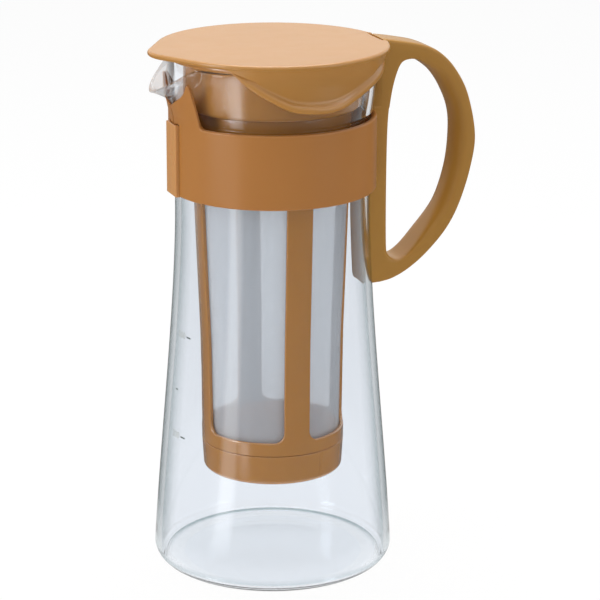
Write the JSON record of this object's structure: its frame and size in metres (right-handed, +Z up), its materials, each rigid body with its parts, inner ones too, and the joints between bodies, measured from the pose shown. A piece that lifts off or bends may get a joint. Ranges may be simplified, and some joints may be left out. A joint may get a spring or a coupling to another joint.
{
  "type": "cold brew coffee maker",
  "caption": "Tall glass carafe with a pouring spout, plastic neck band and loop handle, lift-off lid and a lift-out mesh strainer with a removable bottom cap.",
  "frame": {"origin": "centre of the carafe's flat foot, on the carafe's axis, on the surface it stands on", "axes": "+Z up along the carafe's axis, +X from the axis towards the handle, the spout points along -X"},
  "size_m": [0.1348, 0.0958, 0.211],
  "materials": {
    "glass": "clear heatproof glass, smooth",
    "handle_plastic": "brown polypropylene, soft gloss",
    "clasp_plastic": "brown polypropylene, soft gloss",
    "lid_plastic": "brown polypropylene, soft gloss",
    "strainer_plastic": "brown polypropylene, soft gloss",
    "filter_mesh": "fine grey polyester filter mesh",
    "cap_plastic": "brown polypropylene, soft gloss"
  },
  "bodies": {
    "carafe": {"carafe": "glass", "handle_band": "handle_plastic"},
    "clasp": {"band_clasp": "clasp_plastic"},
    "strainer": {"strainer_frame": "strainer_plastic", "strainer_mesh": "filter_mesh"},
    "lid": {"lid": "lid_plastic"},
    "strainer_cap": {"strainer_cap": "cap_plastic"}
  },
  "joints": [
    {"name": "strainer_lift", "type": "slide", "parent": "carafe", "child": "strainer", "axis": [0, 0, 1], "range_m": [0, 0.18]},
    {"name": "lid_lift", "type": "slide", "parent": "strainer", "child": "lid", "axis": [0, 0, 1], "range_m": [0, 0.04]},
    {"name": "cap_pull", "type": "slide", "parent": "strainer", "child": "strainer_cap", "axis": [0, 0, -1], "range_m": [0, 0.03]},
    {"name": "clasp_slide", "type": "slide", "parent": "carafe", "child": "clasp", "axis": [0, 0, -1], "range_m": [0, 0.03]}
  ]
}
